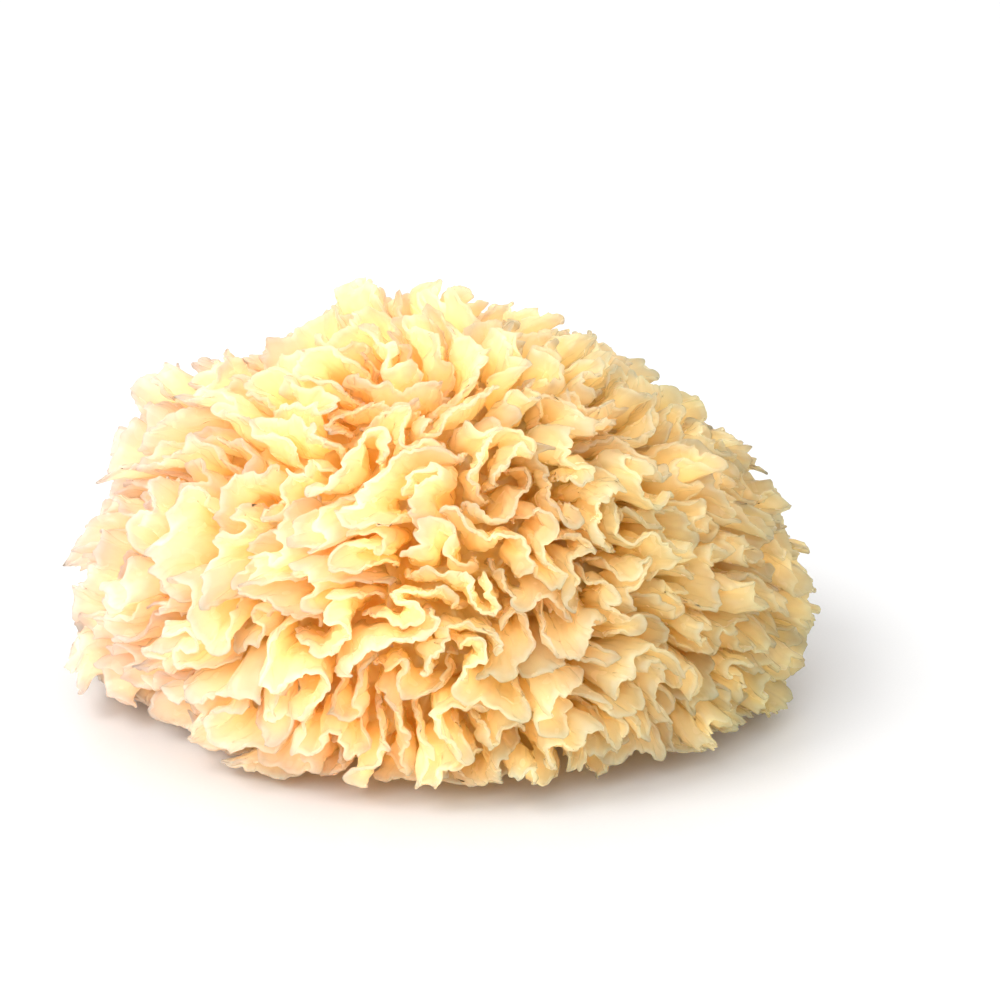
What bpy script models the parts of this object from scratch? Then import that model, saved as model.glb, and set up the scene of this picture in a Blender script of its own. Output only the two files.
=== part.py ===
"""Snow fungus: one gelatinous fruit body, a dome of ruffled fronds that grew out of a cut foot.

The fronds start as short arcs on a solid heart and lengthen as they grow outwards, faster than the
room around them, so that their rims buckle into meanders. Metres, +Z up, origin under the middle.
"""
import math

import bmesh
import bpy
import numpy as np
from mathutils import Vector, noise

MM = 0.001

# The outer surface: half an ellipsoid over a low, square-shouldered underside.
CENTRE = np.array([0.0, 0.0, 15.0]) * MM
HALF_WIDTH = 61.0 * MM
HALF_DEPTH = 53.5 * MM
CROWN = 48.0 * MM
UNDERSIDE = 14.4 * MM
UNDERSIDE_POWER = 8

# Broad swellings and hollows of the outer surface: direction, height as a share, and how tight.
SWELLINGS = (
    ((-0.93, 0.10, 0.30), -0.065, 9.0),
    ((-0.80, 0.22, 0.55), 0.07, 30.0),
    ((-0.52, 0.35, 0.80), -0.10, 40.0),
    ((-0.15, 0.25, 0.95), 0.05, 20.0),
    ((0.74, 0.20, 0.60), -0.07, 9.0),
    ((0.98, -0.10, 0.15), 0.02, 12.0),
    ((-0.80, -0.55, -0.15), -0.13, 30.0),
)

# The heart that all fronds grow from, and the foot that was cut off the wood.
HEART_REACH = 0.83
HEART_LUMP = 0.035
HEART_LUMP_SIZE = 17 * MM
FOOT_RADIUS = 24 * MM
FOOT_TOP = 10 * MM
FOOT_FLARE = 1.25
FOOT_SIDES = 28

# The fronds: how many, how long, and how far apart they grow.
FRONDS = 46
COLUMNS = 12
ROOT_REACH = 0.62
ROW_REACHES = (0.0, 0.55, 1.0)
ROOT_STEP = 0.9 * MM
RIM_STEP = 5.1 * MM
ROOT_GAP = 3.0 * MM
RIM_GAP = 12.5 * MM
LOWEST_DIRECTION = -0.26
FROND_THICKNESS = 2.3 * MM
FROND_FLOOR = 1.7 * MM

# How the growth is worked out: each step pushes fronds apart and draws each rim to its length.
# Positions are rounded at each step, so that the growth is the same wherever it runs.
GROWTH_STEPS = 360
PUSH = 0.22
LONGEST_PUSH = 0.25
OWN_NEIGHBOURS = 3
LINK_PASSES = 3
LINK_PULL = 0.4
BEND = 0.16
UNREST = 1 / 60
ROUNDING = 6

# How far a rim stands short of, or past, the outer surface, and where fronds lean.
RIM_MEAN = 0.985
RIM_SPREAD = 0.04
END_DROP = 0.14
END_POWER = 5
MIDDLE_FOLLOWS = 0.35
LEAN = 5.0 * MM
LEAN_SIZE = 30 * MM

SKIN_COLOUR = (0.98, 0.80, 0.46, 1.0)
SKIN_ROUGHNESS = 0.38
SEED = 3

def clear_scene():
    for thing in list(bpy.data.objects):
        bpy.data.objects.remove(thing, do_unlink=True)

def new_collection(name):
    collection = bpy.data.collections.new(name)
    bpy.context.scene.collection.children.link(collection)
    return collection

def add_mesh(name, sheet, collection):
    """A new object from a bmesh, which is freed."""
    mesh = bpy.data.meshes.new(name)
    sheet.to_mesh(mesh)
    sheet.free()
    thing = bpy.data.objects.new(name, mesh)
    collection.objects.link(thing)
    return thing

def make_helper(thing):
    thing.hide_render = True
    thing.display_type = "WIRE"

def envelope(rays):
    """Distance from the growth centre to the outer surface along unit vectors."""
    flat = np.hypot(rays[:, 0] / HALF_WIDTH, rays[:, 1] / HALF_DEPTH)
    up = rays[:, 2]
    above = 1 / np.hypot(flat, up / CROWN)
    low = np.abs(up / UNDERSIDE)
    below = (flat**UNDERSIDE_POWER + low**UNDERSIDE_POWER) ** (-1 / UNDERSIDE_POWER)
    reach = np.where(up > 0, above, below)
    for towards, height, tightness in SWELLINGS:
        towards = np.array(towards) / np.linalg.norm(towards)
        nearness = (rays * towards).sum(axis=1) - 1
        reach = reach * (1 + height * np.exp(tightness * nearness))
    return reach

def at_reach(points, share):
    """Points moved along their rays from the growth centre to a share of the outer surface."""
    rays = points - CENTRE
    rays /= np.linalg.norm(rays, axis=1, keepdims=True)
    return CENTRE + rays * (envelope(rays) * share)[:, None]

def first_arcs(random):
    """A short arc of points on the heart for each frond, spread evenly over the dome."""
    index = np.arange(FRONDS) + 0.5
    up = 1 - (1 - LOWEST_DIRECTION) * index / FRONDS
    turn = index * math.pi * (3 - math.sqrt(5))
    flat = np.sqrt(1 - up**2)
    middle = np.stack([flat * np.cos(turn), flat * np.sin(turn), up], axis=1)
    along = np.cross(middle, random.normal(size=middle.shape))
    along /= np.linalg.norm(along, axis=1, keepdims=True)
    offsets = (np.arange(COLUMNS) - (COLUMNS - 1) / 2) * ROOT_STEP
    start = CENTRE + middle * (envelope(middle) * ROOT_REACH)[:, None]
    arcs = start[:, None] + along[:, None] * offsets[None, :, None]
    return at_reach(arcs.reshape(-1, 3), ROOT_REACH)

def strangers():
    """Which pairs of points push each other: all but near neighbours along one rim."""
    frond = np.repeat(np.arange(FRONDS), COLUMNS)
    column = np.tile(np.arange(COLUMNS), FRONDS)
    apart = np.abs(column[:, None] - column[None])
    return (frond[:, None] != frond[None]) | (apart > OWN_NEIGHBOURS)

def pushed_apart(points, gap, pairs):
    """Where points move so that fronds keep a gap between them."""
    between = points[:, None] - points[None]
    distance = np.sqrt((between**2).sum(axis=2)) + 1e-9
    near = pairs & (distance < gap)
    strength = np.where(near, PUSH * (gap - distance) / distance, 0)
    move = (between * strength[..., None]).sum(axis=1)
    size = np.linalg.norm(move, axis=1, keepdims=True) + 1e-12
    return points + move * np.minimum(1, LONGEST_PUSH * gap / size)

def linked(arcs, step):
    """Arcs with neighbours drawn to one step from each other, and kinks eased."""
    arcs = arcs.copy()
    for _ in range(LINK_PASSES):
        link = arcs[:, 1:] - arcs[:, :-1]
        length = np.linalg.norm(link, axis=2, keepdims=True) + 1e-12
        fix = link * (LINK_PULL * (1 - step / length))
        arcs[:, :-1] += fix
        arcs[:, 1:] -= fix
    eased = arcs.copy()
    eased[:, 1:-1] += BEND * (arcs[:, :-2] + arcs[:, 2:] - 2 * arcs[:, 1:-1])
    return eased

def grown_rows(random):
    """The fronds' rows of points from heart to rim: rows x fronds x columns x 3."""
    points = first_arcs(random)
    pairs = strangers()
    kept_steps = [round(share * (GROWTH_STEPS - 1)) for share in ROW_REACHES]
    rows = []
    for step in range(GROWTH_STEPS):
        age = step / (GROWTH_STEPS - 1)
        gap = ROOT_GAP + (RIM_GAP - ROOT_GAP) * age
        link = ROOT_STEP + (RIM_STEP - ROOT_STEP) * age
        points = pushed_apart(points, gap, pairs)
        points = linked(points.reshape(FRONDS, COLUMNS, 3), link).reshape(-1, 3)
        points += random.normal(0, link * UNREST, points.shape)
        lowest = LOWEST_DIRECTION * np.linalg.norm(points - CENTRE, axis=1)
        points[:, 2] = np.maximum(points[:, 2], CENTRE[2] + lowest)
        points = at_reach(points, ROOT_REACH + (1 - ROOT_REACH) * age)
        points = np.round(points, ROUNDING)
        if step in kept_steps:
            rows.append(points.reshape(FRONDS, COLUMNS, 3))
    return np.array(rows)

def leaned(points, ages):
    """Points carried sideways by a smooth wind that takes hold towards the rims."""
    wind = np.array([noise.noise_vector(Vector(point) / LEAN_SIZE) for point in points])
    return points + wind * (LEAN * ages**2)[:, None]

def frond_points(random):
    """All fronds, each rim brought to its own height and lower at a frond's two ends."""
    root, middle, rim = grown_rows(random)
    tips = RIM_MEAN + RIM_SPREAD * random.uniform(-1, 1, (FRONDS, COLUMNS))
    tips -= END_DROP * np.abs(np.linspace(-1, 1, COLUMNS)) ** END_POWER
    lift = (rim - CENTRE) * (tips - 1)[..., None]
    rows = np.array([root, middle + lift * MIDDLE_FOLLOWS, rim + lift])
    ages = np.repeat(ROW_REACHES, FRONDS * COLUMNS)
    points = leaned(rows.reshape(-1, 3), ages)
    points[:, 2] = np.maximum(points[:, 2], FROND_FLOOR)
    return points.reshape(rows.shape)

def add_frond(name, points, collection):
    """One frond from its points in rows x columns x 3: a bent sheet, thickened both ways."""
    rows, columns = points.shape[:2]
    sheet = bmesh.new()
    bmesh.ops.create_grid(sheet, x_segments=columns - 1, y_segments=rows - 1, size=1)
    for vertex in sheet.verts:
        column = round((vertex.co.x + 1) / 2 * (columns - 1))
        row = round((vertex.co.y + 1) / 2 * (rows - 1))
        vertex.co = Vector(points[row, column])
    frond = add_mesh(name, sheet, collection)
    thicken = frond.modifiers.new("thickness", "SOLIDIFY")
    thicken.thickness = FROND_THICKNESS
    thicken.offset = 0
    make_helper(frond)
    return frond

def add_foot(collection):
    """The stub left where the fungus was cut off the wood, flat underneath."""
    foot = bmesh.new()
    bmesh.ops.create_cone(
        foot,
        cap_ends=True,
        segments=FOOT_SIDES,
        radius1=FOOT_RADIUS,
        radius2=FOOT_RADIUS * FOOT_FLARE,
        depth=FOOT_TOP,
    )
    bmesh.ops.translate(foot, verts=foot.verts, vec=(0, 0, FOOT_TOP / 2))
    stub = add_mesh("foot", foot, collection)
    make_helper(stub)

def add_heart(name, collection, skin):
    """The solid middle: a lumpy copy of the outer surface, drawn in."""
    ball = bmesh.new()
    bmesh.ops.create_icosphere(ball, subdivisions=3, radius=1)
    rays = np.array([vertex.co for vertex in ball.verts])
    surface = at_reach(CENTRE + rays, HEART_REACH)
    for vertex, point in zip(ball.verts, surface):
        lump = HEART_LUMP * noise.noise(Vector(point) / HEART_LUMP_SIZE)
        vertex.co = Vector(CENTRE + (point - CENTRE) * (1 + lump))
    heart = add_mesh(name, ball, collection)
    heart.data.materials.append(skin)
    return heart

def skin_material():
    skin = bpy.data.materials.new("fungus_skin")
    skin.use_nodes = True
    shader = skin.node_tree.nodes["Principled BSDF"]
    shader.inputs["Base Color"].default_value = SKIN_COLOUR
    shader.inputs["Roughness"].default_value = SKIN_ROUGHNESS
    shader.inputs["Metallic"].default_value = 0
    return skin

def build():
    clear_scene()
    random = np.random.default_rng(SEED)
    noise.seed_set(SEED)
    fungus = new_collection("snow_fungus")
    growths = new_collection("growths")
    points = frond_points(random)
    over_origin = -(points.min(axis=(0, 1, 2)) + points.max(axis=(0, 1, 2))) / 2
    over_origin[2] = 0
    body = add_heart("fruit_body", fungus, skin_material())
    body.location = over_origin
    for number in range(FRONDS):
        frond = add_frond(f"frond_{number + 1}", points[:, number], growths)
        frond.location = over_origin
    add_foot(growths)
    join = body.modifiers.new("grown together", "BOOLEAN")
    join.operation = "UNION"
    join.operand_type = "COLLECTION"
    join.collection = growths
    join.solver = "MANIFOLD"

build()
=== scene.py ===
"""The looks of a soaked snow fungus: thin jelly fronds that ruffle as they grow, under soft studio light.

The fronds start deep inside as short arcs and lengthen as they grow outwards, faster than the room
around them, so that their rims buckle into loops, and a wind bends them over. Metres, +Z up.
"""
import math

import bmesh
import bpy
import numpy as np
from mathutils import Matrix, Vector, noise


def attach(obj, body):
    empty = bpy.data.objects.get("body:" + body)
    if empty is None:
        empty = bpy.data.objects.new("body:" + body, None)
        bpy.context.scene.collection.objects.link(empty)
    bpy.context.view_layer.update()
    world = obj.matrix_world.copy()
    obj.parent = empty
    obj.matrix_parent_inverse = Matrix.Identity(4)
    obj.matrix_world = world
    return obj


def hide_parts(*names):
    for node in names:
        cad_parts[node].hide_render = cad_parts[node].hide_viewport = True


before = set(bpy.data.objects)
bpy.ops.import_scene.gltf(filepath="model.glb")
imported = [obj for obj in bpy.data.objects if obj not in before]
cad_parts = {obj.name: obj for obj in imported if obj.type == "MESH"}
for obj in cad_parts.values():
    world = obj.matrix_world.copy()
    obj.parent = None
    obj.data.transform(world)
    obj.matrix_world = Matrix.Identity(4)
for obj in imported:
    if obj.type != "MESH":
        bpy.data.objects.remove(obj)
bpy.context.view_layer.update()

MM = 0.001
SEED = 7
TINY = 1e-12

# The outer surface, as in the solid: half an ellipsoid over a low, square-shouldered underside.
CENTRE = np.array([0.0, 0.0, 15.0]) * MM
HALF_WIDTH = 61.0 * MM
HALF_DEPTH = 53.5 * MM
CROWN = 48.0 * MM
UNDERSIDE = 14.4 * MM
UNDERSIDE_POWER = 8

# Broad swellings and hollows of the outer surface: direction, height as a share, and how tight.
SWELLINGS = (
    ((-0.93, 0.10, 0.30), -0.065, 9.0),
    ((-0.80, 0.22, 0.55), 0.07, 30.0),
    ((-0.52, 0.35, 0.80), -0.10, 40.0),
    ((-0.15, 0.25, 0.95), 0.05, 20.0),
    ((0.74, 0.20, 0.60), -0.07, 9.0),
    ((0.98, -0.10, 0.15), 0.02, 12.0),
    ((-0.80, -0.55, -0.15), -0.13, 30.0),
)

# Fronds: how many, how long, and how far apart they grow. Reaches are shares of the outer surface.
FRONDS = 320
COLUMNS = 42
LAYERS = 15
ROOT_REACH = 0.50
KEPT_REACH = 0.785
LAST_REACH = 1.045
ROOT_STEP = 0.06 * MM
RIM_STEP = 1.2 * MM
ROOT_GAP = 1.0 * MM
RIM_GAP = 3.4 * MM
LOWEST_DIRECTION = -0.26
START_UNREST = 0.25
LEAST_VIGOUR = 0.75
MOST_VIGOUR = 1.2
VIGOUR_SWELL = 0.9
VIGOUR_COLUMNS = 8

# The wind that bends fronds over: broad swirls, tight swirls near the rims, and a droop.
LEAN = 6 * MM
LEAN_SIZE = 20 * MM
LEAN_FROM = 0.64
CURL = 4.2 * MM
CURL_SIZE = 7 * MM
CURL_FROM = 0.80
DROOP = 5 * MM

# How the growth is worked out. Positions are rounded, so that it is the same wherever it runs.
GROWTH_STEPS = 480
RELIST_EVERY = 6
RELIST_GAPS = 1.25
SLOPE_PARTS = 20
PUSH = 0.3
LONGEST_PUSH = 0.25
OWN_GAPS = 1.3
LINK_PASSES = 3
LINK_PULL = 0.42
BEND = 0.36
UNREST = 0.015
ROUNDING = 7

# Where the finished fronds are drawn together or apart: direction, pull, and how tight.
WARPS = (
    ((0.75, -0.62, -0.05), 0.30, 2.2),
    ((-0.45, -0.35, 0.82), -0.14, 3.0),
)

# The noise along the rims, each with the length of its swells, their height and its channel.
CHANNEL_STEPS = (7.31, 3.17)
VIGOUR_CHANNEL = 40
BROAD = (11 * MM, 3.0 * MM, 0)
LOBES = (5.5 * MM, -3.2 * MM, 300)
TEETH = (1.1 * MM, 0.35 * MM, 600)
TEARS = (3.5 * MM, -7 * MM, 900)
LIPS = (7.0 * MM, 3.4 * MM, 1500)
WAVES = (2.4 * MM, 2.4 * MM, 1800)
RIPPLES = (1.2 * MM, 0.5 * MM, 2100)
LOBES_START = 0.5
TEAR_FROM = 0.3
LIPS_POWER = 4
WAVES_POWER = 2.5

# Where each rim ends: how ragged and tall fronds are, and how they drop at their two ends.
RIM_REACH = 0.995
LEAST_FROND = 0.08
RAGGEDNESS = 0.6
RAGGEDNESS_SPREAD = 0.5
TALLNESS = 1.2 * MM
END_DROP = 9 * MM
END_LENGTH = 7 * MM
END_POWER = 2.2

# The mesh of the fronds, in pieces that each have fronds from all over the head.
FINE_COLUMNS = 2
ROWS = 8
ROW_POWER = 0.75
PIECES = 6
MAP_MARGIN = 0.04
ROOT_THICKNESS = 0.85 * MM
RIM_THICKNESS = 0.45 * MM
LEAST_THICKNESS = 0.3 * MM
EDGE_REACH = 0.35
EDGE_INSET = 0.12
CROWDED = 2.8 * MM
FOLDED = 1.5
ROOM_FILLED = 0.8
ROOM_USED = 0.42
TURN_USED = 0.6
TURN_SPREAD = 3
LEAST_MOVE = 0.05 * MM
FLOOR_GAP = 0.35 * MM
FLOOR_SOFTNESS = 1.5 * MM

# The heart that the fronds grow from, and the foot where the fungus was cut off the wood.
HEART_REACH = 0.84
HEART_SUBDIVISIONS = 7
HEART_FOLDS = 0.2
HEART_FOLD_SIZE = 5 * MM
HEART_DEEPEST = 0.5
HEART_GRAIN = 0.03
HEART_GRAIN_SIZE = 2 * MM
HEART_LUMPS = 0.04
HEART_LUMP_SIZE = 17 * MM
FOOT_RADIUS = 24 * MM
FOOT_TOP = 10 * MM
FOOT_FLARE = 1.25
FOOT_SIDES = 160
FOOT_RINGS = 9
FOOT_CAP = 0.5
FOOT_BULGES = 0.05
FOOT_BULGE_TURNS = (2, 3)
FOOT_BULGE_CHANNEL = 5
FOOT_GROOVES = 0.03
FOOT_GROOVE_TURNS = (9, 13)
FOOT_GROOVE_CHANNEL = 9
CUT_EDGE = 0.4 * MM
CUT_RINGS = 16
CUT_SHARES = (0.06, 0.98)
OVER_ORIGIN = (0.33 * MM, -0.35 * MM, 0.0)

# The jelly's colours from where it is deepest out to its rims, ridges or edge, and how they vary. The
# fronds' and heart's depth colours and the side tints are painted light and shade.
# Fronds: painted glow. The deep jelly is painted more amber, where light shines through its layers, and
# the rims are toned to even out their light.
DEPTH_GLOW = (
    (0.0, (1.0, 0.78, 0.33)),
    (1.0, (0.98, 0.87, 0.66)),
    (0.5, (1.0, 0.79, 0.47)),
    (0.88, (0.93, 0.74, 0.49)),
)
# Heart: painted glow and shade. It is deep amber all over, and a deeper amber in its hollows.
HEART_GLOW = (
    (0.0, (1.0, 0.68, 0.18)),
    (1.0, (1.0, 0.80, 0.34)),
)
CUT_DEPTHS = (
    (0.0, (0.93, 0.62, 0.24)),
    (1.0, (0.95, 0.70, 0.34)),
)
TINTS = (
    (0.35, (1.0, 0.955, 0.93)),
    (0.65, (0.985, 1.0, 0.94)),
)
# Painted shade from left to right: the lit left is toned down, and the right is darker and greener, as
# the key lamp shines from the left.
SIDE_SHADE = (
    (0.08, (0.88, 0.79, 0.82)),
    (0.95, (0.70, 0.63, 0.42)),
    (0.45, (1.0, 0.94, 0.78)),
)
CLOUDS = (
    (0.3, (0.99, 0.97, 0.93)),
    (0.7, (1.0, 1.0, 1.0)),
)
TINT_SIZE = 20 * MM
CLOUD_SIZE = 5 * MM
WETNESS = (0.12, 0.36)
CUT_WETNESS = (0.45, 0.75)
FILM_SIZE = 3 * MM
BUMP_SIZE = 1.6 * MM
BUMP_STRENGTH = 0.5
BUMP_HEIGHT = 0.12 * MM
NOISE_DETAIL = 1.0
BUMP_DETAIL = 2.0
SCATTER_RADII = (1.0, 0.65, 0.4)
SCATTER_SCALE = 28 * MM
JELLY_IOR = 1.45

# The camera and the studio: lamps as name, place, size, power and colour.
AIM = (11.4 * MM, 0.0, 31.2 * MM)
CAMERA_ELEVATION = 20
CAMERA_DISTANCE = 0.58
LENS = 129
SENSOR = 36
ROOM_LIGHT = 0.92
LAMPS = (
    ("key", (-0.85, -0.3, 1.15), 0.8, 7.5, (1, 1, 1)),
    ("front", (-0.5, -1.2, 1.0), 1.0, 6.5, (1, 1, 1)),
)
FLOOR_HALF = 3.0
PAPER_TONES = (
    (0.3, (0.92, 0.92, 0.92)),
    (0.7, (0.94, 0.94, 0.94)),
)
PAPER_GRAIN = 0.4 * MM
PAPER_ROUGHNESS = 0.35
LIGHT_BOUNCES = 12
GLOSS_BOUNCES = 2


def envelope(rays):
    """Distance from the growth centre to the outer surface along unit vectors."""
    flat = np.hypot(rays[:, 0] / HALF_WIDTH, rays[:, 1] / HALF_DEPTH)
    up = rays[:, 2]
    above = 1 / np.hypot(flat, up / CROWN)
    low = np.abs(up / UNDERSIDE)
    below = (flat**UNDERSIDE_POWER + low**UNDERSIDE_POWER) ** (-1 / UNDERSIDE_POWER)
    reach = np.where(up > 0, above, below)
    for towards, height, tightness in SWELLINGS:
        reach = reach * (1 + height * bump(rays, towards, tightness))
    return reach


def bump(rays, towards, tightness):
    """1 in one direction, falling off smoothly around it."""
    towards = np.array(towards) / np.linalg.norm(towards)
    return np.exp(tightness * ((rays * towards).sum(axis=1) - 1))


def rays_of(points):
    rays = points - CENTRE
    return rays / np.linalg.norm(rays, axis=1, keepdims=True)


def at_reach(points, share):
    """Points moved along their rays from the growth centre to a share of the outer surface."""
    rays = rays_of(points)
    return CENTRE + rays * (envelope(rays) * share)[:, None]


def near_pairs(points, distance):
    """Index pairs of points nearer than distance, found by sorting the points into cells."""
    cells = np.floor((points - points.min(axis=0)) / distance).astype(np.int64) + 1
    side = cells.max() + 2
    keys = (cells[:, 0] * side + cells[:, 1]) * side + cells[:, 2]
    order = np.argsort(keys, kind="stable")
    ordered = keys[order]
    steps = [(i, j, k) for i in (-1, 0, 1) for j in (-1, 0, 1) for k in (-1, 0, 1)]
    firsts = []
    seconds = []
    for i, j, k in steps[len(steps) // 2:]:
        wanted = keys + (i * side + j) * side + k
        low = np.searchsorted(ordered, wanted, "left")
        counts = np.searchsorted(ordered, wanted, "right") - low
        first = np.repeat(np.arange(len(points)), counts)
        ends = np.cumsum(counts)
        place = np.arange(ends[-1]) - np.repeat(ends - counts, counts) + np.repeat(low, counts)
        second = order[place]
        if i == j == k == 0:
            once = first < second
            first, second = first[once], second[once]
        firsts.append(first)
        seconds.append(second)
    first, second = np.concatenate(firsts), np.concatenate(seconds)
    near = ((points[first] - points[second]) ** 2).sum(axis=1) < distance**2
    return first[near], second[near]


def noise_line(places, size, channel):
    """Smooth values about 0 along a line of places, from the noise field."""
    aside = [channel * step for step in CHANNEL_STEPS]
    return np.array([noise.noise(Vector((place / size, *aside))) for place in places])


def noise_along(places, kind, number):
    """Heights of one kind of noise along the rim of a numbered frond."""
    size, height, channel = kind
    return noise_line(places, size, number + channel) * height


def slopes(points, size):
    """How a noise field with swells of one size climbs along each axis."""
    step = size / SLOPE_PARTS
    places = [Vector(point) / size for point in points]
    here = np.array([noise.noise(place) for place in places])
    climbs = []
    for axis in range(3):
        aside = Vector([step / size if axis == other else 0 for other in range(3)])
        there = np.array([noise.noise(place + aside) for place in places])
        climbs.append((there - here) / step * size)
    return np.stack(climbs, axis=1)


def wind_at(points, reach):
    """Which way fronds bend at each point: swirls, which leave no place bare, and a droop."""
    rays = rays_of(points)
    wind = np.cross(rays, slopes(points, LEAN_SIZE)) * LEAN
    wind += np.array([0, 0, -DROOP])
    wind *= 2 * (reach - LEAN_FROM) / (LAST_REACH - LEAN_FROM) ** 2
    if reach > CURL_FROM:
        wind += np.cross(rays, slopes(points, CURL_SIZE)) * CURL / (LAST_REACH - CURL_FROM)
    return wind - rays * (wind * rays).sum(axis=1, keepdims=True)


def first_arcs(random):
    """A short arc of points deep inside for each frond, spread evenly over the dome."""
    index = np.arange(FRONDS) + 0.5
    up = 1 - (1 - LOWEST_DIRECTION) * index / FRONDS
    turn = index * math.pi * (3 - math.sqrt(5))
    flat = np.sqrt(1 - up**2)
    middle = np.stack([flat * np.cos(turn), flat * np.sin(turn), up], axis=1)
    middle += random.normal(0, START_UNREST / math.sqrt(FRONDS), middle.shape)
    middle /= np.linalg.norm(middle, axis=1, keepdims=True)
    along = np.cross(middle, random.normal(size=middle.shape))
    along /= np.linalg.norm(along, axis=1, keepdims=True)
    offsets = (np.arange(COLUMNS) - (COLUMNS - 1) / 2) * ROOT_STEP
    start = CENTRE + middle * (envelope(middle) * ROOT_REACH)[:, None]
    arcs = start[:, None] + along[:, None] * offsets[None, :, None]
    return at_reach(arcs.reshape(-1, 3), ROOT_REACH)


def pushed_apart(points, gap, first, second):
    """Where points move so that fronds keep their gap."""
    between = points[first] - points[second]
    distance = np.sqrt((between**2).sum(axis=1)) + TINY
    amount = between * np.maximum(0, PUSH * (gap - distance) / distance)[:, None]
    move = np.empty_like(points)
    for axis in range(3):
        one = np.bincount(first, amount[:, axis], len(points))
        other = np.bincount(second, amount[:, axis], len(points))
        move[:, axis] = one - other
    size = np.linalg.norm(move, axis=1, keepdims=True) + TINY
    return points + move * np.minimum(1, LONGEST_PUSH * gap / size)


def linked(arcs, step):
    """Arcs with neighbours drawn to one step from each other, and kinks eased."""
    arcs = arcs.copy()
    for _ in range(LINK_PASSES):
        link = arcs[:, 1:] - arcs[:, :-1]
        length = np.linalg.norm(link, axis=2, keepdims=True) + TINY
        fix = link * (LINK_PULL * (1 - step / length))
        arcs[:, :-1] += fix
        arcs[:, 1:] -= fix
    eased = arcs.copy()
    eased[:, 1:-1] += BEND * ((arcs[:, :-2] + arcs[:, 2:]) / 2 - arcs[:, 1:-1])
    return eased


def grown_layers(random):
    """The fronds' rows of points from deep to rim: layers x fronds x columns x 3."""
    points = first_arcs(random)
    frond = np.repeat(np.arange(FRONDS), COLUMNS)
    column = np.tile(np.arange(COLUMNS), FRONDS)
    links = np.arange(COLUMNS - 1)
    swells = np.array([
        noise_line(links, VIGOUR_COLUMNS, number + VIGOUR_CHANNEL) for number in range(FRONDS)
    ])
    vigour = random.uniform(LEAST_VIGOUR, MOST_VIGOUR, (FRONDS, 1, 1))
    vigour = vigour * (swells * VIGOUR_SWELL + 1)[..., None]
    reach_step = (LAST_REACH - ROOT_REACH) / (GROWTH_STEPS - 1)
    first_kept = (KEPT_REACH - ROOT_REACH) / reach_step
    kept_steps = np.linspace(first_kept, GROWTH_STEPS - 1, LAYERS).round().astype(int)
    layers = []
    for step in range(GROWTH_STEPS):
        age = step / (GROWTH_STEPS - 1)
        reach = ROOT_REACH + reach_step * step
        gap = ROOT_GAP + (RIM_GAP - ROOT_GAP) * age
        link = (ROOT_STEP + (RIM_STEP - ROOT_STEP) * age) * vigour
        if step % RELIST_EVERY == 0:
            first, second = near_pairs(points, gap * RELIST_GAPS)
            along = np.abs(column[first] - column[second]) * link.mean()
            strangers = (frond[first] != frond[second]) | (along > OWN_GAPS * gap)
            first, second = first[strangers], second[strangers]
            wind = wind_at(points, reach) if reach > LEAN_FROM else 0
        points = points + wind * reach_step
        points = pushed_apart(points, gap, first, second)
        points = linked(points.reshape(FRONDS, COLUMNS, 3), link).reshape(-1, 3)
        points += random.normal(0, link.mean() * UNREST, points.shape)
        lowest = LOWEST_DIRECTION * np.linalg.norm(points - CENTRE, axis=1)
        points[:, 2] = np.maximum(points[:, 2], CENTRE[2] + lowest)
        points = np.round(at_reach(points, reach), ROUNDING)
        if step in kept_steps:
            layers.append(points.reshape(FRONDS, COLUMNS, 3))
    return np.array(layers)


def fine(rows, times):
    """Columns of points made finer along the rim with a smooth curve: ... x columns x 3."""
    first = 2 * rows[..., :1, :] - rows[..., 1:2, :]
    last = 2 * rows[..., -1:, :] - rows[..., -2:-1, :]
    ends = np.concatenate([first, rows, last], axis=-2)
    before = ends[..., :-3, :]
    start = ends[..., 1:-2, :]
    end = ends[..., 2:-1, :]
    after = ends[..., 3:, :]
    parts = []
    for part in range(times):
        t = part / times
        slope = (end - before) * t
        bend = (2 * before - 5 * start + 4 * end - after) * t**2
        twist = (3 * start - before - 3 * end + after) * t**3
        parts.append(start + (slope + bend + twist) / 2)
    mixed = np.stack(parts, axis=-2)
    mixed = mixed.reshape(*mixed.shape[:-3], -1, 3)
    return np.concatenate([mixed, rows[..., -1:, :]], axis=-2)


def lengths_along(rim):
    """How far along its rim each point of each frond is."""
    lengths = np.linalg.norm(np.diff(rim, axis=1), axis=2)
    return np.concatenate([np.zeros((len(rim), 1)), np.cumsum(lengths, axis=1)], axis=1)


def rim_reaches(rim, random):
    """How far each column of each frond reaches, as a share of the outer surface."""
    along = lengths_along(rim)
    heights = np.empty(along.shape)
    for number, place in enumerate(along):
        broad = noise_along(place, BROAD, number)
        lobes = -np.abs(noise_along(place + LOBES_START, LOBES, number))
        ragged = max(0, random.normal(RAGGEDNESS, RAGGEDNESS_SPREAD))
        teeth = noise_along(place, TEETH, number) * ragged
        tears = np.minimum(0, noise_along(place, TEARS, number) - TEAR_FROM * TEARS[1]) * ragged
        tall = random.normal(0, TALLNESS)
        from_end = np.minimum(place, place[-1] - place) / END_LENGTH
        drop = -END_DROP * np.maximum(0, 1 - from_end) ** END_POWER
        heights[number] = broad + lobes + teeth + tears + tall + drop
    reaches = RIM_REACH + heights / np.linalg.norm(rim - CENTRE, axis=2)
    return np.clip(reaches, KEPT_REACH + LEAST_FROND, LAST_REACH)


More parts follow.
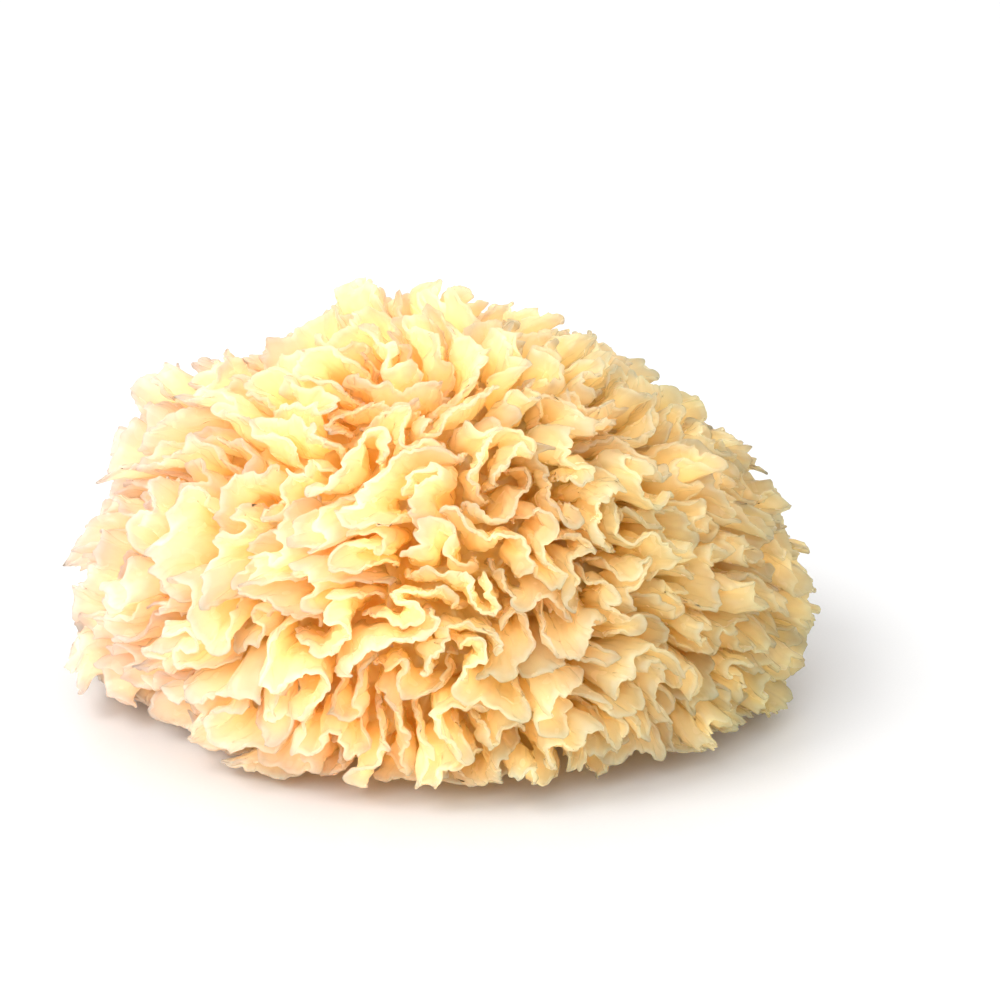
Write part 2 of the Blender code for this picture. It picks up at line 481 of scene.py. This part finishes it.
def frond_rows(layers, reaches):
    """Points from the deep edge to each column's own rim, rows x fronds x columns x 3, and reaches."""
    share = np.linspace(0, 1, ROWS) ** ROW_POWER
    wanted = KEPT_REACH + (reaches[None] - KEPT_REACH) * share[:, None, None]
    place = (wanted - KEPT_REACH) / (LAST_REACH - KEPT_REACH) * (LAYERS - 1)
    low = np.clip(np.floor(place).astype(int), 0, LAYERS - 2)
    part = (place - low)[..., None]
    frond, column = np.indices(reaches.shape)
    return layers[low, frond, column] * (1 - part) + layers[low + 1, frond, column] * part, wanted


def normals_of(points):
    """Unit normals of sheets given as rows x fronds x columns x 3."""
    up = np.gradient(points, axis=0)
    along = np.gradient(points, axis=2)
    normal = np.cross(along, up)
    return normal / (np.linalg.norm(normal, axis=-1, keepdims=True) + TINY)


def warped(points, shares):
    """Fronds drawn closer together on one side of the dome and farther apart on the other."""
    rays = rays_of(points.reshape(-1, 3))
    move = np.zeros_like(rays)
    for towards, pull, tightness in WARPS:
        unit = np.array(towards) / np.linalg.norm(towards)
        across = unit - rays * (rays * unit).sum(axis=1, keepdims=True)
        move += across * (pull * bump(rays, towards, tightness))[:, None]
    rays = rays + move
    rays[:, 2] = np.maximum(rays[:, 2], LOWEST_DIRECTION * np.linalg.norm(rays, axis=1))
    return at_reach(CENTRE + rays, shares.reshape(-1)).reshape(points.shape)


def room_around(points):
    """Distance from each point of the sheets to the nearest other fold, up to a limit."""
    fronds, columns = points.shape[1:3]
    frond = np.repeat(np.arange(fronds), columns)
    found = np.empty(points.shape[:3])
    for row, layer in enumerate(points):
        flat = layer.reshape(-1, 3)
        along = lengths_along(layer).reshape(-1)
        first, second = near_pairs(flat, CROWDED)
        distance = np.linalg.norm(flat[first] - flat[second], axis=1)
        folded = np.abs(along[first] - along[second]) > FOLDED * distance
        other = (frond[first] != frond[second]) | folded
        first, second, distance = first[other], second[other], distance[other]
        nearest = np.full(len(flat), CROWDED)
        np.minimum.at(nearest, first, distance)
        np.minimum.at(nearest, second, distance)
        found[row] = nearest.reshape(fronds, columns)
    return found[..., None]


def widest_moves(points):
    """How far each point may move off its sheet: little where the rim turns tightly or is crowded."""
    turn = np.zeros(points.shape[:3])
    ahead = points[:, :, 2:] - points[:, :, 1:-1]
    behind = points[:, :, 1:-1] - points[:, :, :-2]
    step = np.linalg.norm(ahead, axis=-1) * np.linalg.norm(behind, axis=-1) + TINY
    turn[:, :, 1:-1] = np.linalg.norm(ahead - behind, axis=-1) / step
    for _ in range(TURN_SPREAD):
        turn[:, :, 1:-1] = np.maximum(turn[:, :, 1:-1], np.maximum(turn[:, :, :-2], turn[:, :, 2:]))
    room = np.maximum(room_around(points) - RIM_THICKNESS, LEAST_MOVE)
    return np.minimum(ROOM_USED * room, TURN_USED / (turn[..., None] + TINY))


def ruffled(points):
    """Small waves across the sheets and lips that roll over, both growing towards the rims."""
    along = lengths_along(points[-1])
    lips = np.empty(along.shape)
    waves = np.empty(along.shape)
    for number, place in enumerate(along):
        lips[number] = noise_along(place, LIPS, number)
        waves[number] = noise_along(place, WAVES, number) + noise_along(place, RIPPLES, number)
    share = np.linspace(0, 1, ROWS)[:, None, None]
    heights = (lips * share**LIPS_POWER + waves * share**WAVES_POWER)[..., None]
    widest = widest_moves(points)
    return points + normals_of(points) * widest * np.tanh(heights / widest)


def above_floor(points):
    """Points near the floor pressed up, so that none goes through it."""
    over = (points[..., 2] - FLOOR_GAP) / FLOOR_SOFTNESS
    points = points.copy()
    points[..., 2] = FLOOR_GAP + FLOOR_SOFTNESS * np.logaddexp(0, over)
    return points


def frond_rings(points):
    """Closed sheets from their middle surface, as rings from one face round the rim to the other."""
    normal = normals_of(points)
    share = np.linspace(0, 1, ROWS)[:, None, None, None]
    thickness = ROOT_THICKNESS + (RIM_THICKNESS - ROOT_THICKNESS) * share
    thickness = np.clip(room_around(points) * ROOM_FILLED, LEAST_THICKNESS, thickness)
    front = points + normal * thickness / 2
    back = points - normal * thickness / 2
    outward = points[-1] - points[-2]
    outward /= np.linalg.norm(outward, axis=-1, keepdims=True) + TINY
    edge = points[-1] + outward * RIM_THICKNESS * EDGE_REACH
    inset = outward * RIM_THICKNESS * EDGE_INSET
    front[-1] -= inset
    back[-1] -= inset
    rings = np.concatenate([front, edge[None], back[::-1]], axis=0)
    return np.moveaxis(rings, 0, 2)


def sheet_faces(columns, around):
    """Faces of one closed sheet whose rings of points follow each other, and of its two ends."""
    quads = []
    for column in range(columns - 1):
        for place in range(around):
            after = (place + 1) % around
            a = column * around
            b = a + around
            quads.append((a + place, b + place, b + after, a + after))
    half = around // 2
    tips = []
    for column, step in ((0, 1), (columns - 1, -1)):
        a = column * around
        for place in range(half - 1):
            quad = (a + place, a + place + 1, a + around - 2 - place, a + around - 1 - place)
            quads.append(quad[::step])
        tips.append((a + half - 1, a + half, a + half + 1)[::step])
    return np.array(quads), np.array(tips)


def add_mesh(name, verts, quads, tips=None):
    """An object from points, four-sided faces and, where given, three-sided ones."""
    loops = quads.reshape(-1)
    starts = np.arange(len(quads)) * 4
    if tips is not None:
        starts = np.concatenate([starts, len(loops) + np.arange(len(tips)) * 3])
        loops = np.concatenate([loops, tips.reshape(-1)])
    mesh = bpy.data.meshes.new(name)
    mesh.vertices.add(len(verts))
    mesh.vertices.foreach_set("co", verts.astype(np.float32).reshape(-1))
    mesh.loops.add(len(loops))
    mesh.loops.foreach_set("vertex_index", loops.astype(np.int32))
    mesh.polygons.add(len(starts))
    mesh.polygons.foreach_set("loop_start", starts.astype(np.int32))
    mesh.update(calc_edges=True)
    mesh.shade_smooth()
    thing = bpy.data.objects.new(name, mesh)
    bpy.context.scene.collection.objects.link(thing)
    return thing


def dress(piece, material):
    """A piece's material, and its place in the part."""
    piece.data.materials.append(material)
    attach(piece, "root")
    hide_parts("fruit_body")


def add_height(piece, heights):
    """How far out each point is, from 0 where the jelly is deepest to 1 at the rims, for the material."""
    attribute = piece.data.attributes.new("height", "FLOAT", "POINT")
    attribute.data.foreach_set("value", heights.astype(np.float32))


def add_fronds(rings, jelly):
    """The fronds as a few pieces, whose fronds alternate so that light spreads alike all over."""
    fronds, columns, around = rings.shape[:3]
    quads, tips = sheet_faces(columns, around)
    height = np.concatenate([np.linspace(0, 1, ROWS), [1.0], np.linspace(1, 0, ROWS)])
    for number in range(PIECES):
        group = np.arange(number, fronds, PIECES)
        starts = (np.arange(len(group)) * columns * around)[:, None, None]
        piece = add_mesh(
            f"fronds_{number + 1}",
            rings[group].reshape(-1, 3),
            (quads[None] + starts).reshape(-1, 4),
            (tips[None] + starts).reshape(-1, 3),
        )
        add_height(piece, np.tile(height, columns * len(group)))
        add_map(piece, len(group), columns, around)
        dress(piece, jelly)


def add_map(piece, sheets, columns, around):
    """A map with a rectangle for each sheet, in rows of rectangles."""
    side = math.ceil(math.sqrt(sheets))
    mesh = piece.data
    corner = np.empty(len(mesh.loops), np.int32)
    mesh.loops.foreach_get("vertex_index", corner)
    sheet, rest = np.divmod(corner, columns * around)
    column, place = np.divmod(rest, around)
    starts = np.empty(len(mesh.polygons), np.int32)
    mesh.polygons.foreach_get("loop_start", starts)
    totals = np.diff(np.append(starts, len(corner)))
    face = np.repeat(np.arange(len(starts)), totals)
    highest = np.zeros(len(starts), np.int64)
    np.maximum.at(highest, face, place)
    wraps = (place == 0) & (highest[face] == around - 1)
    place = np.where(wraps, around, place)
    width = 1 - 2 * MAP_MARGIN
    across = (sheet % side + MAP_MARGIN + column / (columns - 1) * width) / side
    up = (sheet // side + MAP_MARGIN + place / around * width) / side
    layer = mesh.uv_layers.new(name="OFBake")
    layer.data.foreach_set("uv", np.stack([across, up], axis=1).astype(np.float32).reshape(-1))


def add_heart(jelly):
    """The solid middle that the fronds grow from, folded where it shows between them."""
    ball = bmesh.new()
    bmesh.ops.create_icosphere(ball, subdivisions=HEART_SUBDIVISIONS, radius=1)
    rays = np.array([vertex.co for vertex in ball.verts])
    surface = at_reach(CENTRE + rays, HEART_REACH)
    ridges = []
    for vertex, point in zip(ball.verts, surface):
        place = Vector(point)
        hollow = abs(noise.noise(place / HEART_FOLD_SIZE))
        grain = HEART_GRAIN * noise.noise(place / HEART_GRAIN_SIZE)
        lump = HEART_LUMPS * noise.noise(place / HEART_LUMP_SIZE)
        growth = 1 - HEART_FOLDS * hollow + grain + lump
        vertex.co = Vector(CENTRE + (point - CENTRE) * growth)
        # 0 in the folds' hollows, where the heart's colour is painted deeper amber as shade.
        ridges.append(1 - hollow / HEART_DEEPEST)
    mesh = bpy.data.meshes.new("heart")
    ball.to_mesh(mesh)
    ball.free()
    mesh.shade_smooth()
    heart = bpy.data.objects.new("heart", mesh)
    bpy.context.scene.collection.objects.link(heart)
    add_height(heart, np.array(ridges))
    dress(heart, jelly)


def noise_round(turn, swells, channel):
    """Smooth values about 0 all the way round, where the last meets the first."""
    return noise_line(np.cos(turn) * swells[0] + np.sin(turn) * swells[1], 1, channel)


def add_foot(cut_jelly):
    """The stub that was cut off the wood: a flat cut and a grooved side that flares into the body."""
    turn = np.arange(FOOT_SIDES) / FOOT_SIDES * math.tau
    outline = 1 + FOOT_BULGES * noise_round(turn, FOOT_BULGE_TURNS, FOOT_BULGE_CHANNEL)
    grooves = FOOT_GROOVES * noise_round(turn, FOOT_GROOVE_TURNS, FOOT_GROOVE_CHANNEL)
    cut = [(share, 0) for share in np.linspace(*CUT_SHARES, CUT_RINGS)]
    side = []
    for part in np.linspace(0, 1, FOOT_RINGS):
        side.append((1 + (FOOT_FLARE - 1) * part, CUT_EDGE + (FOOT_TOP - CUT_EDGE) * part))
    rings = []
    for share, height in cut + side + [(FOOT_CAP, FOOT_TOP + CUT_EDGE)]:
        radius = FOOT_RADIUS * share * (outline + grooves * (height > 0))
        heights = np.full(FOOT_SIDES, height)
        rings.append(np.stack([radius * np.cos(turn), radius * np.sin(turn), heights], axis=1))
    place = np.arange(FOOT_SIDES)
    after = (place + 1) % FOOT_SIDES
    starts = np.arange(len(rings) - 1)[:, None] * FOOT_SIDES
    corners = [starts + place, starts + after, starts + FOOT_SIDES + after, starts + FOOT_SIDES + place]
    quads = np.stack(corners, axis=-1).reshape(-1, 4)
    bottom = len(rings) * FOOT_SIDES
    last = bottom - FOOT_SIDES
    under = np.stack([np.full(FOOT_SIDES, bottom), after, place], axis=1)
    over = np.stack([np.full(FOOT_SIDES, bottom + 1), last + place, last + after], axis=1)
    ends = np.array([[0, 0, 0], [0, 0, FOOT_TOP + CUT_EDGE]])
    foot = add_mesh("foot", np.concatenate(rings + [ends]), quads, np.concatenate([under, over]))
    from_middle = [share for share, height in cut] + [1] * (len(rings) - len(cut))
    add_height(foot, np.append(np.repeat(from_middle, FOOT_SIDES), [0, 1]))
    dress(foot, cut_jelly)


def new_node(tree, kind, **settings):
    """A node, with its settings and the values of its sockets."""
    node = tree.nodes.new(kind)
    for name, value in settings.items():
        if name in node.inputs:
            node.inputs[name].default_value = value
        else:
            setattr(node, name, value)
    return node


def noise_at(tree, place, size, detail=NOISE_DETAIL):
    """Smooth values from 0 to 1 in the object, with swells of one size."""
    texture = new_node(tree, "ShaderNodeTexNoise", Scale=1 / size, Detail=detail)
    tree.links.new(place, texture.inputs["Vector"])
    return texture.outputs["Fac"]


def ramp(tree, value, stops):
    """Colours picked by a value, between stops of place and colour."""
    node = tree.nodes.new("ShaderNodeValToRGB")
    elements = node.color_ramp.elements
    for number, (position, colour) in enumerate(stops):
        element = elements[number] if number < 2 else elements.new(position)
        element.position = position
        element.color = (*colour, 1)
    tree.links.new(value, node.inputs["Fac"])
    return node.outputs["Color"]


def mixed(tree, mode, share, one, other):
    """Two colours blended by a share, which is a number or a value of another node."""
    node = new_node(tree, "ShaderNodeMix", data_type="RGBA", blend_type=mode)
    sockets = {"share": node.inputs[0], "one": node.inputs[6], "other": node.inputs[7]}
    for name, value in (("share", share), ("one", one), ("other", other)):
        if isinstance(value, bpy.types.NodeSocket):
            tree.links.new(value, sockets[name])
        else:
            sockets[name].default_value = value if name == "share" else (*value, 1)
    return node.outputs[2]


def jelly_material(name, depths, wetness):
    """Soaked fungus: light passes far into it, its colours follow its depth, and the skin is wet. In the
    fronds and heart the deeper folds are painted more amber as glow, and across the head the right side
    is painted in shade.
    """
    material = bpy.data.materials.new(name)
    material.use_nodes = True
    tree = material.node_tree
    shader = tree.nodes["Principled BSDF"]
    place = tree.nodes.new("ShaderNodeTexCoord").outputs["Object"]
    height = new_node(tree, "ShaderNodeAttribute", attribute_name="height").outputs["Fac"]
    # Colours by depth: painted glow in the fronds and heart, more amber where deep; in the foot, its own
    # colour.
    colour = ramp(tree, height, depths)
    tint = ramp(tree, noise_at(tree, place, TINT_SIZE), TINTS)
    colour = mixed(tree, "MULTIPLY", 1.0, colour, tint)
    # Painted shade across the head, darker and greener to the right, by the side tints.
    across = new_node(tree, "ShaderNodeSeparateXYZ")
    tree.links.new(place, across.inputs["Vector"])
    side = new_node(tree, "ShaderNodeMapRange")
    side.inputs["From Min"].default_value = -HALF_WIDTH
    side.inputs["From Max"].default_value = HALF_WIDTH
    tree.links.new(across.outputs["X"], side.inputs["Value"])
    colour = mixed(tree, "MULTIPLY", 1.0, colour, ramp(tree, side.outputs["Result"], SIDE_SHADE))
    cloudy = ramp(tree, noise_at(tree, place, CLOUD_SIZE), CLOUDS)
    colour = mixed(tree, "MULTIPLY", 1.0, colour, cloudy)
    tree.links.new(colour, shader.inputs["Base Color"])
    film = new_node(tree, "ShaderNodeMapRange")
    film.inputs["To Min"].default_value = wetness[0]
    film.inputs["To Max"].default_value = wetness[1]
    tree.links.new(noise_at(tree, place, FILM_SIZE), film.inputs["Value"])
    tree.links.new(film.outputs["Result"], shader.inputs["Roughness"])
    bumps = new_node(tree, "ShaderNodeBump", Strength=BUMP_STRENGTH, Distance=BUMP_HEIGHT)
    tree.links.new(noise_at(tree, place, BUMP_SIZE, BUMP_DETAIL), bumps.inputs["Height"])
    tree.links.new(bumps.outputs["Normal"], shader.inputs["Normal"])
    shader.subsurface_method = "BURLEY"
    shader.inputs["Subsurface Weight"].default_value = 1.0
    shader.inputs["Subsurface Radius"].default_value = SCATTER_RADII
    shader.inputs["Subsurface Scale"].default_value = SCATTER_SCALE
    shader.inputs["IOR"].default_value = JELLY_IOR
    return material


def add_camera():
    """A long lens a little above the fungus, framed as in the photo."""
    elevation = math.radians(CAMERA_ELEVATION)
    camera = bpy.data.objects.new("camera", bpy.data.cameras.new("camera"))
    camera.data.lens = LENS
    camera.data.sensor_width = SENSOR
    towards = Vector((0, -math.cos(elevation), math.sin(elevation)))
    camera.location = Vector(AIM) + towards * CAMERA_DISTANCE
    camera.rotation_euler = (math.pi / 2 - elevation, 0, 0)
    bpy.context.scene.collection.objects.link(camera)
    bpy.context.scene.camera = camera


def add_light(name, place, size, power, colour):
    """A round soft lamp that faces the fungus."""
    lamp = bpy.data.lights.new(name, "AREA")
    lamp.shape = "DISK"
    lamp.size = size
    lamp.energy = power
    lamp.color = colour
    light = bpy.data.objects.new(name, lamp)
    light.location = place
    light.rotation_euler = (Vector(CENTRE) - Vector(place)).to_track_quat("-Z", "Y").to_euler()
    bpy.context.scene.collection.objects.link(light)


def add_studio():
    """Even white light all round, a few soft lamps, and a floor of white paper."""
    world = bpy.data.worlds.new("studio")
    world.use_nodes = True
    world.node_tree.nodes["Background"].inputs["Color"].default_value = (1, 1, 1, 1)
    world.node_tree.nodes["Background"].inputs["Strength"].default_value = ROOM_LIGHT
    bpy.context.scene.world = world
    for lamp in LAMPS:
        add_light(*lamp)
    corners = np.array([(-1, -1, 0), (1, -1, 0), (1, 1, 0), (-1, 1, 0)]) * FLOOR_HALF
    floor = add_mesh("floor", corners, np.array([[0, 1, 2, 3]]))
    paper = bpy.data.materials.new("paper")
    paper.use_nodes = True
    tree = paper.node_tree
    shader = tree.nodes["Principled BSDF"]
    place = tree.nodes.new("ShaderNodeTexCoord").outputs["Object"]
    white = ramp(tree, noise_at(tree, place, PAPER_GRAIN), PAPER_TONES)
    tree.links.new(white, shader.inputs["Base Color"])
    shader.inputs["Roughness"].default_value = PAPER_ROUGHNESS
    floor.data.materials.append(paper)
    scene = bpy.context.scene
    scene.view_settings.view_transform = "Standard"
    scene.cycles.max_bounces = LIGHT_BOUNCES
    scene.cycles.diffuse_bounces = LIGHT_BOUNCES
    scene.cycles.glossy_bounces = GLOSS_BOUNCES
    scene.cycles.use_light_tree = False


def main():
    random = np.random.default_rng(SEED)
    noise.seed_set(SEED)
    add_camera()
    add_studio()
    layers = fine(grown_layers(random), FINE_COLUMNS)
    rows, shares = frond_rows(layers, rim_reaches(layers[-2], random))
    rings = frond_rings(above_floor(ruffled(warped(rows, shares))))
    rings += np.array(OVER_ORIGIN)
    jelly = jelly_material("jelly", DEPTH_GLOW, WETNESS)
    add_fronds(rings, jelly)
    add_heart(jelly_material("deep_jelly", HEART_GLOW, WETNESS))
    add_foot(jelly_material("cut_jelly", CUT_DEPTHS, CUT_WETNESS))


main()
